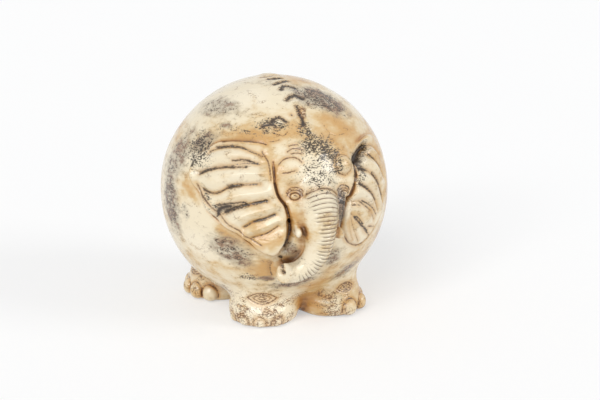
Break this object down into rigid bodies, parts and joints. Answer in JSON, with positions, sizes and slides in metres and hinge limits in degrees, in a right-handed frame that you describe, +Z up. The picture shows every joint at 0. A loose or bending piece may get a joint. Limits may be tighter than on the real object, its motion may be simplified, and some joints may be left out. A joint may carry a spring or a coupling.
{
  "type": "figural animal coin bank",
  "caption": "Hollow ball-shaped glazed elephant on stump feet that takes coins through a slot behind the crown and gives them back through a stoppered hole underneath.",
  "frame": {"origin": "on the floor under the middle of the whole bank's bounding box", "axes": "+Z up, the animal faces -Y and its left side is at +X; metres"},
  "size_m": [0.17, 0.1898, 0.1761],
  "materials": {
    "glaze": "glossy cream to tan crackle glaze over brown and black patches of stain",
    "stained_glaze": "glossy glaze over dark brown stain",
    "rubber": "matt black moulded rubber"
  },
  "bodies": {
    "bank": {"shell_upper": "glaze", "shell_lower": "glaze", "face": "glaze", "trunk": "glaze", "ridge": "glaze", "tail": "glaze", "ear_left": "glaze", "ear_right": "glaze", "brow_left": "glaze", "brow_right": "glaze", "tusk_left": "glaze", "tusk_right": "glaze", "foot_front_left": "glaze", "foot_front_right": "glaze", "foot_rear_left": "glaze", "foot_rear_right": "glaze", "eye_left": "stained_glaze", "eye_right": "stained_glaze"},
    "stopper": {"stopper": "rubber"}
  },
  "joints": [
    {"name": "stopper_pull", "type": "slide", "parent": "bank", "child": "stopper", "axis": [0, 0, -1], "range_m": [0, 0.045]}
  ]
}
